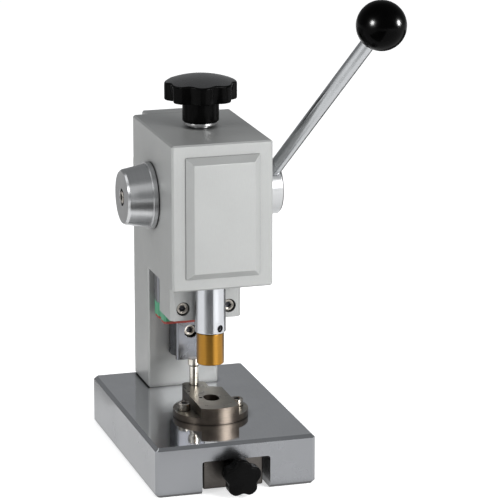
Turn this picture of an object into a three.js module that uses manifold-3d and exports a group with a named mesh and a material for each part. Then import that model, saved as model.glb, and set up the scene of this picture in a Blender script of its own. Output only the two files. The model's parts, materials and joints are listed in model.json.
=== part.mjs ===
// Bench hand press with a ground base, a column, a gear-driven ram on a linear guide and a die plate.
// Units are millimetres, +Z up, the front faces -Y. The origin is the middle of the base's underside.
import * as THREE from 'three';
import { mergeVertices } from 'three/addons/utils/BufferGeometryUtils.js';
import Module from 'manifold-3d';

const wasm = await Module();
wasm.setup();

// ---------------------------------------------------------------- driving dimensions
const FACE_GAP = 0.1;                  // between faces that bolt together
const FIT_GAP = 0.2;                   // radial room round screws and other fixed round pieces
const RUN_GAP = 0.06;                  // radial room of a running fit

const BASE = { width: 110, depth: 172, height: 34.5, chamfer: 2.2 };
const SLOT = { width: 46.8, height: 22.7, rear: -8, corner: 1.8 };
const COLUMN = { width: 50, front: 45.5, rear: 84, top: 229.4, flatTop: 11.7, bevelDrop: 39, chamfer: 1 };
const HEAD = {
  width: 69, front: -54.8, rear: COLUMN.front - FACE_GAP, bottom: 130.4, top: 229.4,
  chamfer: 1.2, side: 7, roof: 9, floor: 7, backWallFrom: 166, backWall: 10,
};
const PANEL = { width: 50.6, height: 82.2, centreZ: 179.8, rise: 5, bevel: 4.5 };
const WINDOW = { width: 42, bottom: 153, top: 205 };

const RAIL = { width: 20, height: 20, bottom: 59, top: 218, waist: 2, firstHole: 79, pitch: 60 };
const CARRIAGE = { width: 44, height: 30, lift: 4.6, bottom: 99.75, length: 50, cap: 9.6, seal: 1.8 };
const SLIDER = { width: 49.5, front: -13.65, bottom: 98.65, top: 162, chamfer: 2.4 };
const SLIDER_SCREWS = { x: 16, z: CARRIAGE.bottom + 7, pitch: 36, counterbore: 9.5, depth: 7 };

const PRESS_Y = -23.5;                 // the ram, the pusher and the die share this upright axis
const RAM = { radius: 10.5, bottom: 93.1, top: 218, flatAngle: 27, flatDepth: 0.7, screwZ: 96.6 };
const RAM_SCREW_Z = [115, 150];
const PUSHER = { radius: 9.3, bottom: 71, stemRadius: 4, stem: 16, chamfer: 0.8 };

const SHAFT = { radius: 7, y: -2, z: 184.5, left: -46.8, right: 53.1 };
const GEAR = { teeth: 16, pitchRadius: 14, width: 9.4, pressure: 20, backlash: 0.35, rackTeeth: 9 };
const KEY = { length: 9, half: 1.5, depth: 1.8, proud: 1.4 };
const BUSH = { radius: 10, flange: 12.5, flangeThickness: 1.6 };
const CAP = {
  rim: 22.6, rimWidth: 3.4, faceRadius: 18.4, inner: -35, outer: -55, bore: 16.6, web: 8, recess: 4.8,
};
const SPRING = { radius: 13.2, wire: 0.9, turns: 4, from: -36.4, to: -45.2 };
const HUB = { radius: 18.3, inner: 35.2, outer: 53.3, chamfer: 1.4, screwX: 41 };
const LEVER = { rootX: 41.5, out: 17.75, lean: 38, radius: 4.95, start: 13.5, length: 168, ball: 16.5 };

const KNOB = {
  radius: 24.4, lobes: 8, hollow: 3.6, phase: -100.7,
  foot: 233.6, bottom: 247.9, rim: 260, crown: 264.6, stem: 12.35,
};
const KNOB_SEAT = { base: 8, radius: 11.6, step: 1.9, thickness: 3.8 };
const LOCK = { spindle: 5, reach: 15.5, shoeTop: 208, shoeWidth: 27, shoeDepth: 13, legIn: 7, gap: 0.4 };

const DIE = { radius: 25.5, flange: 4.5, top: 46, left: -12.5, right: 14, shank: 13, shankBottom: 8 };
const DIE_LOBE = { left: -10.4, right: 6, rear: 14.5, corner: 4 };
const NEST = { x: 0.6, width: 10, length: 14.5 };
const PIP_HOLE = { x: -6.4, y: -21.5, radius: 1.2 };
const DIE_SCREW_X = 18.5;
const POST = { x: -2.6, y: 8.5, radius: 3.15, head: 4.2, headFrom: 60, top: 65, root: 7 };

const CLAMP = { width: 41, front: -78, rear: -48, top: 22.4, bottom: 0.6, z: 13.85, stud: 4, pad: 4.4 };
const FRONT_KNOB = {
  radius: 12.9, lobes: 5, hollow: 2.6, front: -103.4, back: -92.6, hub: 7.5, hubEnd: -79,
};
const CLAMP_SCREW = { x: 13, y: -62 };

// ---------------------------------------------------------------- finishes
const finish = (color, roughness, metalness) =>
  new THREE.MeshStandardMaterial({ color, roughness, metalness });

const groundSteel = finish(0x9a9ca2, 0.22, 1);
const turnedSteel = finish(0xb4b4b2, 0.28, 1);
const chrome = finish(0xc8cad0, 0.1, 1);
const satinPaint = finish(0xc3c5c3, 0.45, 0.3);
const dieSteel = finish(0x6a6058, 0.35, 1);
const darkSteel = finish(0x4b4e52, 0.35, 1);
const screwSteel = finish(0x8c8880, 0.3, 1);
const brass = finish(0xad7722, 0.35, 1);
const blackPlastic = finish(0x0b0b0d, 0.18, 0);
const greenPlastic = finish(0x2f7a55, 0.5, 0);
const redRubber = finish(0x8a2f28, 0.7, 0);
const springSteel = finish(0x55565a, 0.35, 1);

// ---------------------------------------------------------------- solids
function solid(geometry) {
  const bare = geometry.index ? geometry.toNonIndexed() : geometry.clone();
  bare.deleteAttribute('normal');
  bare.deleteAttribute('uv');
  const merged = mergeVertices(bare, 1e-4);
  const index = merged.index.array;
  const kept = [];
  for (let i = 0; i < index.length; i += 3) {
    const [a, b, c] = [index[i], index[i + 1], index[i + 2]];
    if (a !== b && b !== c && c !== a) kept.push(a, b, c);
  }
  const vertProperties = new Float32Array(merged.attributes.position.array);
  const build = (triVerts) => new wasm.Manifold(new wasm.Mesh({ numProp: 3, vertProperties, triVerts }));
  const made = build(new Uint32Array(kept));
  if (made.volume() > 0) return made;
  const flipped = [];
  for (let i = 0; i < kept.length; i += 3) flipped.push(kept[i], kept[i + 2], kept[i + 1]);
  return build(new Uint32Array(flipped));
}

function piece(name, manifold, material) {
  const { vertProperties, triVerts } = manifold.getMesh();
  const geometry = new THREE.BufferGeometry();
  geometry.setAttribute('position', new THREE.BufferAttribute(new Float32Array(vertProperties), 3));
  geometry.setIndex(new THREE.BufferAttribute(new Uint32Array(triVerts), 1));
  geometry.computeVertexNormals();
  const mesh = new THREE.Mesh(geometry, material);
  mesh.name = name;
  return mesh;
}

const join = (first, ...others) => others.reduce((whole, next) => whole.add(next), first);
const cut = (first, ...others) => others.reduce((whole, next) => whole.subtract(next), first);

function block(x0, x1, y0, y1, z0, z1) {
  const geometry = new THREE.BoxGeometry(x1 - x0, y1 - y0, z1 - z0);
  return solid(geometry.translate((x0 + x1) / 2, (y0 + y1) / 2, (z0 + z1) / 2));
}

// A solid of revolution about +Z from [radius, z] points that start and end on the axis.
function turned(points, segments = 24) {
  const profile = points.map(([radius, z]) => new THREE.Vector2(radius, z));
  return solid(new THREE.LatheGeometry(profile, segments).rotateX(Math.PI / 2));
}

function rod(radius, z0, z1, segments = 24) {
  return turned([[0, z0], [radius, z0], [radius, z1], [0, z1]], segments);
}

// An outline in XY raised from z0 to z1; a bevel slopes in from the outline at both ends.
function raised(points, z0, z1, bevel = 0) {
  const shape = new THREE.Shape(points.map(([x, y]) => new THREE.Vector2(x, y)));
  const options = {
    depth: z1 - z0 - 2 * bevel, steps: 1, bevelEnabled: bevel > 0,
    bevelThickness: bevel, bevelSize: bevel, bevelOffset: -bevel, bevelSegments: 1,
  };
  return solid(new THREE.ExtrudeGeometry(shape, options).translate(0, 0, z0 + bevel));
}

// A box whose twelve edges are all chamfered.
function chamferedBox(width, depth, height, chamfer) {
  const [w, d, c] = [width / 2, depth / 2, chamfer];
  const corners = [
    [w - c, -d], [w, -d + c], [w, d - c], [w - c, d],
    [-w + c, d], [-w, d - c], [-w, -d + c], [-w + c, -d],
  ];
  return raised(corners, 0, height, c);
}

const along = {
  x: (made) => made.rotate([0, 90, 0]),          // +Z becomes +X
  y: (made) => made.rotate([-90, 0, 0]),         // +Z becomes +Y
};

function arc(cx, cy, radius, from, to, steps) {
  const points = [];
  for (let i = 0; i <= steps; i += 1) {
    const angle = THREE.MathUtils.degToRad(from + ((to - from) * i) / steps);
    points.push([cx + radius * Math.cos(angle), cy + radius * Math.sin(angle)]);
  }
  return points;
}

function hexagon(acrossFlats) {
  return arc(0, 0, acrossFlats / Math.sqrt(3), 0, 300, 5);
}

// A slot with round ends, centred on the origin and longer along Y.
function obround(width, length) {
  const end = (length - width) / 2;
  return [...arc(0, end, width / 2, 0, 180, 6), ...arc(0, -end, width / 2, 180, 360, 6)];
}

// ---------------------------------------------------------------- screws
const SIZES = {
  M3: { thread: 1.5, head: 2.75, headHeight: 3, socket: 2.5 },
  M4: { thread: 2, head: 3.5, headHeight: 4, socket: 3 },
  M5: { thread: 2.5, head: 4.25, headHeight: 5, socket: 4 },
  M6: { thread: 3, head: 5, headHeight: 6, socket: 5 },
  M8: { thread: 4, head: 6.5, headHeight: 8, socket: 6 },
};

// A socket head screw: the head's seat is at its own origin and the thread runs down -Z.
function capScrew(name, size, length, seat, direction) {
  const { thread, head, headHeight, socket } = SIZES[size];
  const body = turned([
    [0, -length], [thread, -length], [thread, 0], [head, 0], [head, headHeight], [0, headHeight],
  ], 12);
  const recess = raised(hexagon(socket), headHeight * 0.45, headHeight + 1);
  const mesh = piece(name, cut(body, recess), screwSteel);
  return aim(mesh, seat, direction);
}

// A headless set screw whose socket face is at its own origin, driven down -Z.
function setScrew(name, radius, length, face, direction) {
  const body = rod(radius, -length, 0, 10);
  const mesh = piece(name, cut(body, raised(hexagon(radius), -length * 0.4, 1)), darkSteel);
  return aim(mesh, face, direction);
}

function aim(mesh, position, direction) {
  const down = new THREE.Vector3(0, 0, -1);
  mesh.quaternion.setFromUnitVectors(down, new THREE.Vector3(...direction).normalize());
  mesh.position.set(...position);
  return mesh;
}

const assembly = (...members) => new THREE.Group().add(...members);

// ---------------------------------------------------------------- base
const COLUMN_BOLTS = [-14, 14].map((x) => [x, (COLUMN.front + COLUMN.rear) / 2]);
const COLUMN_BOLT_SEAT = 10;

function basePlate() {
  const body = chamferedBox(BASE.width, BASE.depth, BASE.height, BASE.chamfer);
  const half = SLOT.width / 2;
  const outline = [
    [-half, -1], [half, -1],
    ...arc(half - SLOT.corner, SLOT.height - SLOT.corner, SLOT.corner, 0, 90, 4),
    ...arc(-half + SLOT.corner, SLOT.height - SLOT.corner, SLOT.corner, 90, 180, 4),
  ];
  const length = BASE.depth / 2 + 1 + SLOT.rear;
  const slot = raised(outline, 0, length).rotate([90, 0, 0]).translate([0, SLOT.rear, 0]);
  const register = rod(DIE.shank + FIT_GAP, SLOT.height - 1, BASE.height + 1).translate([0, PRESS_Y, 0]);
  const dieHoles = [-DIE_SCREW_X, DIE_SCREW_X].map((x) =>
    rod(SIZES.M5.thread + FIT_GAP, BASE.height - 10.5, BASE.height + 1, 10).translate([x, PRESS_Y, 0]));
  const clampHoles = [-CLAMP_SCREW.x, CLAMP_SCREW.x].map((x) =>
    rod(SIZES.M5.thread + FIT_GAP, SLOT.height - 1, SLOT.height + 8.5, 10)
      .translate([x, CLAMP_SCREW.y, 0]));
  const columnHoles = COLUMN_BOLTS.flatMap(([x, y]) => [
    rod(SIZES.M8.thread + FIT_GAP, -1, BASE.height + 1, 12).translate([x, y, 0]),
    rod(SIZES.M8.head + 0.4, -1, COLUMN_BOLT_SEAT, 16).translate([x, y, 0]),
  ]);
  const made = cut(body, slot, register, ...dieHoles, ...clampHoles, ...columnHoles);
  return piece('base_plate', made, groundSteel);
}

// ---------------------------------------------------------------- column
const HEAD_BOLTS = [-18, 18].flatMap((x) => [[x, 173], [x, 212]]);

function column() {
  const bottom = BASE.height + FACE_GAP;
  const { width, front, rear, top, flatTop, bevelDrop, chamfer } = COLUMN;
  const side = [
    [front, bottom], [rear, bottom], [rear, top - bevelDrop], [front + flatTop, top], [front, top],
  ];
  const body = raised(side, -width / 2, width / 2, chamfer).rotate([90, 0, 0]).rotate([0, 0, 90]);
  const bolts = COLUMN_BOLTS.map(([x, y]) =>
    rod(SIZES.M8.thread + FIT_GAP, bottom - 1, bottom + 24, 12).translate([x, y, 0]));
  const headHoles = HEAD_BOLTS.map(([x, z]) =>
    along.y(rod(SIZES.M6.thread + FIT_GAP, front - 1, front + 14, 10)).translate([x, 0, z]));
  const railHoles = railHoleHeights().map((z) =>
    along.y(rod(SIZES.M5.thread + FIT_GAP, front - 1, front + 11, 10)).translate([0, 0, z]));
  return piece('column', cut(body, ...bolts, ...headHoles, ...railHoles), satinPaint);
}

function railHoleHeights() {
  return [0, 1, 2].map((i) => RAIL.firstHole + i * RAIL.pitch);
}

// ---------------------------------------------------------------- head
const PANEL_SCREWS = [-14, 14].flatMap((x) => [[x, 147.5], [x, 211.5]]);
const frontWall = HEAD.front + HEAD.side;

function headHousing() {
  const { width, front, rear, bottom, top, chamfer, side, roof, floor, backWallFrom, backWall } = HEAD;
  const body = chamferedBox(width, rear - front + chamfer, top - bottom, chamfer)
    .translate([0, (front + rear + chamfer) / 2, bottom]);
  const behind = block(-width, width, rear, rear + chamfer + 1, bottom - 1, top + 1);
  const inside = width / 2 - side;
  const cavity = block(-inside, inside, frontWall, rear - backWall, bottom + floor, top - roof);
  const lowerBack = block(-inside, inside, rear - backWall - 1, rear + 1, bottom + floor, backWallFrom);
  const railWay = block(-RAIL.width / 2 - 1, RAIL.width / 2 + 1, rear - backWall - 1, rear + 1,
    backWallFrom - 1, top - roof);
  const mouth = block(-SLIDER.width / 2 - 1.5, SLIDER.width / 2 + 1.5, PRESS_Y - RAM.radius - 2, rear + 1,
    bottom - 1, bottom + floor + 1);
  const pane = WINDOW.width / 2;
  const window = block(-pane, pane, front - 1, frontWall + 1, WINDOW.bottom, WINDOW.top);
  const shaftWay = along.x(rod(BUSH.radius + FIT_GAP, -width, width)).translate([0, SHAFT.y, SHAFT.z]);
  const spindleWay = rod(LOCK.spindle + FIT_GAP, top - roof - 1, top + 1, 16).translate([0, SHAFT.y, 0]);
  const boltWays = HEAD_BOLTS.map(([x, z]) =>
    along.y(rod(SIZES.M6.thread + FIT_GAP, rear - backWall - 1, rear + 1, 10)).translate([x, 0, z]));
  const panelWays = PANEL_SCREWS.map(([x, z]) =>
    along.y(rod(SIZES.M3.thread + FIT_GAP, front - 1, frontWall + 1, 8)).translate([x, 0, z]));
  const made = cut(body, behind, cavity, lowerBack, railWay, mouth, window, shaftWay, spindleWay,
    ...boltWays, ...panelWays);
  return piece('head_housing', made, satinPaint);
}

function frontPanel() {
  const { width, height, centreZ, rise, bevel } = PANEL;
  const back = HEAD.front - FACE_GAP;
  const half = [width / 2, height / 2];
  const outline = [[-half[0], -half[1]], [half[0], -half[1]], [half[0], half[1]], [-half[0], half[1]]];
  const full = raised(outline, -bevel - 1, rise, bevel);
  const flat = full.intersect(block(-width, width, -height, height, 0, rise + 1));
  const upright = flat.rotate([90, 0, 0]).translate([0, back, centreZ]);
  const holes = PANEL_SCREWS.map(([x, z]) =>
    along.y(rod(SIZES.M3.thread + FIT_GAP, back - rise + 1, back + 1, 8)).translate([x, 0, z]));
  return piece('front_panel', cut(upright, ...holes), satinPaint);
}

// ---------------------------------------------------------------- linear guide
function linearRail() {
  const rear = COLUMN.front - FACE_GAP;
  const front = rear - RAIL.height;
  const half = RAIL.width / 2;
  const { waist } = RAIL;
  const right = [
    [half, rear], [half, rear - 6], [half - waist, rear - 9], [half - waist, front + 6],
    [half, front + 3.5], [half, front + 1], [half - 1, front],
  ];
  const outline = [...right, ...right.map(([x, y]) => [-x, y]).reverse()];
  const body = raised(outline, RAIL.bottom, RAIL.top);
  const holes = railHoleHeights().flatMap((z) => [
    along.y(rod(SIZES.M5.thread + FIT_GAP, front - 1, rear + 1, 10)).translate([0, 0, z]),
    along.y(rod(SLIDER_SCREWS.counterbore / 2, front - 1, front + 8.5, 12)).translate([0, 0, z]),
  ]);
  return piece('linear_rail', cut(body, ...holes), darkSteel);
}

// The carriage's section wraps the rail; trim makes it a little narrower for its end pieces.
function carriageSection(trim) {
  const half = CARRIAGE.width / 2 - trim;
  const way = RAIL.width / 2 + 0.4;
  const front = COLUMN.front - CARRIAGE.height + trim;
  const rear = COLUMN.front - CARRIAGE.lift - trim;
  const crown = COLUMN.front - RAIL.height - 0.6;
  return [
    [-half, rear], [-way, rear], [-way, crown], [way, crown], [way, rear], [half, rear],
    [half, rear - 9], [half - 1, rear - 10], [half - 1, front + 9], [half, front + 8],
    [half, front + 1.5], [half - 1.5, front], [-half + 1.5, front], [-half, front + 1.5],
    [-half, front + 8], [-half + 1, front + 9], [-half + 1, rear - 10], [-half, rear - 9],
  ];
}

const carriageTop = CARRIAGE.bottom + CARRIAGE.length;
const SLIDER_SCREW_SPOTS = [-1, 1].flatMap((side) =>
  [0, 1].map((row) => [side * SLIDER_SCREWS.x, SLIDER_SCREWS.z + row * SLIDER_SCREWS.pitch]));

function carriagePieces() {
  const { bottom, cap, seal } = CARRIAGE;
  const front = COLUMN.front - CARRIAGE.height;
  const tapped = SLIDER_SCREW_SPOTS.map(([x, z]) =>
    along.y(rod(SIZES.M5.thread + FIT_GAP, front - 1, front + 8, 10)).translate([x, 0, z]));
  const body = cut(raised(carriageSection(0), bottom, carriageTop), ...tapped);
  const slab = (name, trim, from, thickness, material) =>
    piece(name, raised(carriageSection(trim), from, from + thickness), material);
  return [
    piece('carriage_body', body, darkSteel),
    slab('lower_end_cap', 0.4, bottom - FACE_GAP - cap, cap, greenPlastic),
    slab('upper_end_cap', 0.4, carriageTop + FACE_GAP, cap, greenPlastic),
    slab('lower_end_seal', 0.8, bottom - 2 * FACE_GAP - cap - seal, seal, redRubber),
    slab('upper_end_seal', 0.8, carriageTop + 2 * FACE_GAP + cap, seal, redRubber),
  ];
}

// ---------------------------------------------------------------- slider and ram
const sliderRear = COLUMN.front - CARRIAGE.height - FACE_GAP;
const RAM_SCREW_SEAT = sliderRear - 6;

function sliderBlock() {
  const { width, front, bottom, top, chamfer } = SLIDER;
  const half = width / 2;
  const outline = [
    [-half, sliderRear], [-half, front + chamfer], [-half + chamfer, front],
    [half - chamfer, front], [half, front + chamfer], [half, sliderRear],
  ];
  const body = raised(outline, bottom, top);
  const groove = rod(RAM.radius + FIT_GAP, bottom - 1, top + 1, 28).translate([0, PRESS_Y, 0]);
  const bores = SLIDER_SCREW_SPOTS.flatMap(([x, z]) => [
    along.y(rod(SIZES.M5.thread + FIT_GAP, front - 1, sliderRear + 1, 10)).translate([x, 0, z]),
    along.y(rod(SLIDER_SCREWS.counterbore / 2, front - 1, front + SLIDER_SCREWS.depth, 18))
      .translate([x, 0, z]),
  ]);
  const ramBores = RAM_SCREW_Z.flatMap((z) => [
    along.y(rod(SIZES.M4.thread + FIT_GAP, front - 1, sliderRear + 1, 10)).translate([0, 0, z]),
    along.y(rod(SIZES.M4.head + FIT_GAP, RAM_SCREW_SEAT, sliderRear + 1, 12)).translate([0, 0, z]),
  ]);
  return piece('slider_block', cut(body, groove, ...bores, ...ramBores), satinPaint);
}

function rackGap(z) {
  const gearModule = (2 * GEAR.pitchRadius) / GEAR.teeth;
  const slope = Math.tan(THREE.MathUtils.degToRad(GEAR.pressure));
  const halfGap = (Math.PI * gearModule) / 4 + GEAR.backlash / 2;
  const pitchLine = SHAFT.y - GEAR.pitchRadius;
  const [tip, root] = [pitchLine + 3, pitchLine - 1.2 * gearModule];
  const outline = [
    [root, -halfGap + (pitchLine - root) * slope], [tip, -halfGap - (tip - pitchLine) * slope],
    [tip, halfGap + (tip - pitchLine) * slope], [root, halfGap - (pitchLine - root) * slope],
  ];
  return raised(outline, -8, 8).rotate([90, 0, 0]).rotate([0, 0, 90]).translate([0, 0, z]);
}

function ram() {
  const { radius, bottom, top, flatAngle, flatDepth, screwZ } = RAM;
  const body = turned([
    [0, bottom], [radius - 0.8, bottom], [radius, bottom + 0.8],
    [radius, top - 1], [radius - 1, top], [0, top],
  ], 28).translate([0, PRESS_Y, 0]);
  const gearModule = (2 * GEAR.pitchRadius) / GEAR.teeth;
  const pitch = Math.PI * gearModule;
  const toothTip = SHAFT.y - GEAR.pitchRadius + 0.9 * gearModule;
  const rackFrom = SHAFT.z - 2.5 * pitch;
  const rackFlat = block(-radius, radius, toothTip, toothTip + 6, rackFrom, top + 1);
  const gaps = Array.from({ length: GEAR.rackTeeth }, (_, i) => rackGap(SHAFT.z + (i - 2) * pitch));
  const socket = rod(PUSHER.stemRadius + FIT_GAP, bottom - 1, bottom + PUSHER.stem + 1, 24)
    .translate([0, PRESS_Y, 0]);
  const flat = block(-8, 8, -radius - 5, -radius + flatDepth, bottom - 1, bottom + 8)
    .rotate([0, 0, flatAngle]).translate([0, PRESS_Y, 0]);
  const screwHole = along.y(rod(2, -radius - 1, 0, 10)).rotate([0, 0, flatAngle])
    .translate([0, PRESS_Y, screwZ]);
  const tapped = RAM_SCREW_Z.map((z) =>
    along.y(rod(SIZES.M4.thread + FIT_GAP, PRESS_Y + 3, PRESS_Y + radius + 1, 10)).translate([0, 0, z]));
  return piece('ram', cut(body, rackFlat, ...gaps, socket, flat, screwHole, ...tapped), chrome);
}

function pusher() {
  const { radius, bottom, stemRadius, stem, chamfer } = PUSHER;
  const shoulder = RAM.bottom - FACE_GAP;
  const body = turned([
    [0, bottom], [radius - chamfer, bottom], [radius, bottom + chamfer], [radius, shoulder],
    [stemRadius, shoulder], [stemRadius, shoulder + stem], [0, shoulder + stem],
  ], 24);
  return piece('pusher', body.translate([0, PRESS_Y, 0]), brass);
}

function ramSetScrew() {
  const turn = THREE.MathUtils.degToRad(RAM.flatAngle);
  const outward = [Math.sin(turn), -Math.cos(turn), 0];
  const reach = RAM.radius - RAM.flatDepth - 0.6;
  const face = [outward[0] * reach, PRESS_Y + outward[1] * reach, RAM.screwZ];
  return setScrew('ram_set_screw', 1.8, 4.2, face, outward.map((v) => -v));
}

// ---------------------------------------------------------------- shaft and gear
function pinionOutline() {
  const { teeth, pitchRadius, pressure, backlash } = GEAR;
  const gearModule = (2 * pitchRadius) / teeth;
  const baseRadius = pitchRadius * Math.cos(THREE.MathUtils.degToRad(pressure));
  const involute = (angle) => Math.tan(angle) - angle;
  const atPitch = (Math.PI * gearModule / 2 - backlash) / (2 * pitchRadius);
  const halfAngle = (radius) => {
    const roll = radius > baseRadius ? involute(Math.acos(baseRadius / radius)) : 0;
    return atPitch + involute(THREE.MathUtils.degToRad(pressure)) - roll;
  };
  const radii = [-1.2, -0.4, 0.2, 0.9].map((step) => pitchRadius + step * gearModule);
  const points = [];
  for (let tooth = 0; tooth < teeth; tooth += 1) {
    const middle = (2 * Math.PI * tooth) / teeth;
    for (const radius of radii) points.push(polar(radius, middle - halfAngle(radius)));
    for (const radius of [...radii].reverse()) points.push(polar(radius, middle + halfAngle(radius)));
  }
  return points;
}

const polar = (radius, angle) => [radius * Math.cos(angle), radius * Math.sin(angle)];

// Everything on the cross shaft is built about the shaft's own axis, which is the group's origin.
function crossShaft() {
  const { radius, left, right } = SHAFT;
  const body = along.x(turned([
    [0, left], [radius - 0.8, left], [radius, left + 0.8],
    [radius, right - 0.8], [radius - 0.8, right], [0, right],
  ], 32));
  const screwHole = along.x(rod(SIZES.M5.thread + FIT_GAP, left - 1, left + 13, 10));
  const keyway = block(-KEY.length / 2 - 0.1, KEY.length / 2 + 0.1, -KEY.half - 0.1, KEY.half + 0.1,
    radius - KEY.depth, radius + 1);
  return piece('cross_shaft', cut(body, screwHole, keyway), turnedSteel);
}

function pinion() {
  const blank = raised(pinionOutline(), -GEAR.width / 2, GEAR.width / 2);
  const bore = rod(SHAFT.radius + FIT_GAP, -GEAR.width, GEAR.width, 24);
  const keyway = block(SHAFT.radius - 1, SHAFT.radius + KEY.proud + 0.2, -KEY.half - 0.1, KEY.half + 0.1,
    -GEAR.width, GEAR.width);
  const upright = cut(blank, bore).rotate([0, 0, 90]).rotate([0, 90, 0]);
  return piece('pinion', cut(upright, keyway.rotate([0, -90, 0])), darkSteel);
}

function pinionKey() {
  const { length, half, depth, proud } = KEY;
  const bar = block(-length / 2, length / 2, -half, half, SHAFT.radius - depth + 0.1, SHAFT.radius + proud);
  return piece('pinion_key', bar, screwSteel);
}

function bushing(name, side) {
  const wall = HEAD.width / 2;
  const inner = wall - HEAD.side - BUSH.flangeThickness - FACE_GAP;
  const body = turned([
    [0, inner], [BUSH.flange, inner], [BUSH.flange, inner + BUSH.flangeThickness],
    [BUSH.radius, inner + BUSH.flangeThickness], [BUSH.radius, wall - 0.2], [0, wall - 0.2],
  ]);
  const bored = cut(body, rod(SHAFT.radius + RUN_GAP, inner - 1, wall + 1, 32));
  const sided = side < 0 ? bored.mirror([0, 0, 1]) : bored;
  const mesh = piece(name, along.x(sided), brass);
  mesh.position.set(0, SHAFT.y, SHAFT.z);
  return mesh;
}

function coneCap() {
  const { rim, rimWidth, faceRadius, inner, outer, bore, web, recess } = CAP;
  const body = turned([
    [0, outer], [faceRadius - 1, outer], [faceRadius, outer + 0.8], [rim - 1.4, inner - rimWidth],
    [rim - 0.4, inner - rimWidth], [rim, inner - rimWidth + 0.4], [rim, inner - 0.5],
    [rim - 0.5, inner], [0, inner],
  ], 28);
  const hollow = rod(bore, outer + web, inner + 1, 24);
  const pocket = rod(5.8, outer - 1, outer + recess, 18);
  const screwHole = rod(SIZES.M5.thread + FIT_GAP, outer - 1, outer + web + 1, 10);
  return piece('cone_cap', along.x(cut(body, hollow, pocket, screwHole)), turnedSteel);
}

// The return spring is wound round the shaft inside the hollow cap.
class Coil extends THREE.Curve {
  getPoint(t, target = new THREE.Vector3()) {
    const angle = t * SPRING.turns * 2 * Math.PI;
    const x = SPRING.from + (SPRING.to - SPRING.from) * t;
    return target.set(x, SPRING.radius * Math.cos(angle), SPRING.radius * Math.sin(angle));
  }
}

function returnSpring() {
  const corners = hexagon(SPRING.wire * Math.sqrt(3)).map(([x, y]) => new THREE.Vector2(x, y));
  const section = new THREE.Shape(corners);
  const steps = SPRING.turns * 12;
  const options = { steps, extrudePath: new Coil(), bevelEnabled: false };
  const geometry = new THREE.ExtrudeGeometry(section, options);
  return piece('return_spring', solid(geometry), springSteel);
}

// ---------------------------------------------------------------- hand lever
const leverDirection = (() => {
  const out = THREE.MathUtils.degToRad(LEVER.out);
  const lean = THREE.MathUtils.degToRad(LEVER.lean);
  return new THREE.Vector3(Math.sin(out), -Math.cos(out) * Math.sin(lean), Math.cos(out) * Math.cos(lean));
})();

function leverHub() {
  const { radius, inner, outer, chamfer } = HUB;
  const body = along.x(turned([
    [0, inner], [radius - 0.8, inner], [radius, inner + 0.8],
    [radius, outer - chamfer], [radius - chamfer, outer], [0, outer],
  ], 48));
  const bore = along.x(rod(SHAFT.radius + FIT_GAP, inner - 1, outer + 1));
  const rodWay = rod(LEVER.radius + FIT_GAP, LEVER.start - 1, 40, 24)
    .rotate([0, LEVER.out, 0]).rotate([LEVER.lean, 0, 0]).translate([LEVER.rootX, 0, 0]);
  const setHole = along.y(rod(2.3, 0, radius + 1, 10)).translate([HUB.screwX, 0, 0]);
  return piece('lever_hub', cut(body, bore, rodWay, setHole), turnedSteel);
}

// The rod and the ball are built up +Z and then tipped into the lever's slanting line.
function leverArm() {
  const { radius, start, length, ball } = LEVER;
  const rodTop = length - ball * 0.35;
  const bar = turned([
    [0, start], [radius - 0.5, start], [radius, start + 0.5], [radius, rodTop - 0.5],
    [radius - 0.5, rodTop], [0, rodTop],
  ], 16);
  const neck = Math.sqrt(ball ** 2 - (radius + 2) ** 2);
  const outline = arc(0, 0, ball, -Math.acos((radius + 2) / ball) * (180 / Math.PI), 90, 10);
  const sphere = turned([[0, -neck], ...outline.slice(0, -1), [0, ball]], 24).translate([0, 0, length]);
  const socket = rod(radius + FIT_GAP, length - ball - 1, rodTop + 0.3, 16);
  const arm = assembly(
    piece('lever_rod', bar, chrome),
    piece('ball_knob', cut(sphere, socket), blackPlastic),
  );
  arm.position.x = LEVER.rootX;
  arm.quaternion.setFromUnitVectors(new THREE.Vector3(0, 0, 1), leverDirection);
  return arm;
}

function shaftAssembly() {
  const group = assembly(
    crossShaft(), pinion(), pinionKey(), coneCap(), returnSpring(), leverHub(), leverArm(),
    capScrew('cap_screw', 'M5', 14, [CAP.outer + CAP.recess - FACE_GAP, 0, 0], [1, 0, 0]),
    setScrew('hub_set_screw', 2.1, 6, [HUB.screwX, SHAFT.radius + 6.6, 0], [0, -1, 0]),
  );
  group.position.set(0, SHAFT.y, SHAFT.z);
  return group;
}

// ---------------------------------------------------------------- star knobs
// A star outline: the rim sinks by depth between round lobes, which stay broader than the hollows.
function starOutline(radius, lobes, depth, phase) {
  const steps = lobes * 8;
  return Array.from({ length: steps }, (_, i) => {
    const turn = (2 * Math.PI * i) / steps;
    const hollow = ((1 - Math.cos(lobes * turn)) / 2) ** 1.5;
    return polar(radius - depth * hollow, turn + THREE.MathUtils.degToRad(phase));
  });
}

function topKnob() {
  const { radius, lobes, hollow, phase, foot, bottom, rim, crown, stem } = KNOB;
  const star = raised(starOutline(radius, lobes, hollow, phase), bottom, crown);
  const dome = turned([
    [0, bottom - 1], [radius + 1, bottom - 1], [radius + 1, rim - 1.4], [radius - 1.5, rim],
    [radius * 0.7, rim + 2.3], [radius * 0.35, crown - 0.6], [0, crown],
  ], 28);
  const neck = turned([
    [0, foot], [stem - 1.2, foot], [stem, foot + 1.2], [stem, bottom + 1], [0, bottom + 1],
  ], 24);
  const bore = rod(LOCK.spindle + FIT_GAP, foot - 1, foot + LOCK.reach + 0.5, 16);
  const made = cut(join(star.intersect(dome), neck), bore);
  return piece('top_knob', made.translate([0, SHAFT.y, 0]), blackPlastic);
}

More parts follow.
